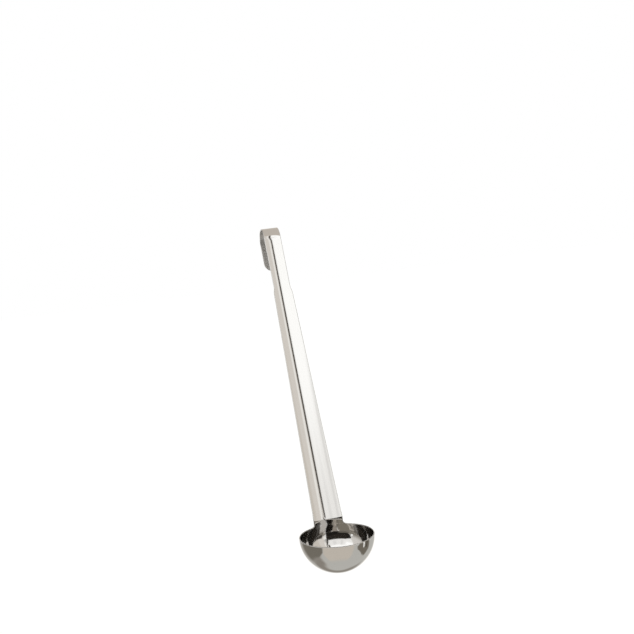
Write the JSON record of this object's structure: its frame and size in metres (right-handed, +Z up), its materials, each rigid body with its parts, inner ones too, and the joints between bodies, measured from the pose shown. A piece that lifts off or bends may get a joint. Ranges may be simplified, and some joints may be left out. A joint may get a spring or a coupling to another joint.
{
  "type": "soup ladle",
  "caption": "Small stainless soup ladle: half-round bowl with a low neck, long tapered trough handle leaning back, and a hook end for hanging.",
  "frame": {"origin": "centre of the hook's bend, on the axis of a rail that the ladle hangs from, midway across the hook", "axes": "+Z up with the bowl's mouth level, +Y to the back, the way the handle leans, +X along the rail, to the right seen from the bowl's open front"},
  "size_m": [0.063, 0.2211, 0.2604],
  "materials": {
    "polished_steel": "polished",
    "weld_metal": "satin"
  },
  "bodies": {
    "root": {"bowl": "polished_steel", "handle": "polished_steel", "spot_welds": "weld_metal"}
  },
  "joints": []
}
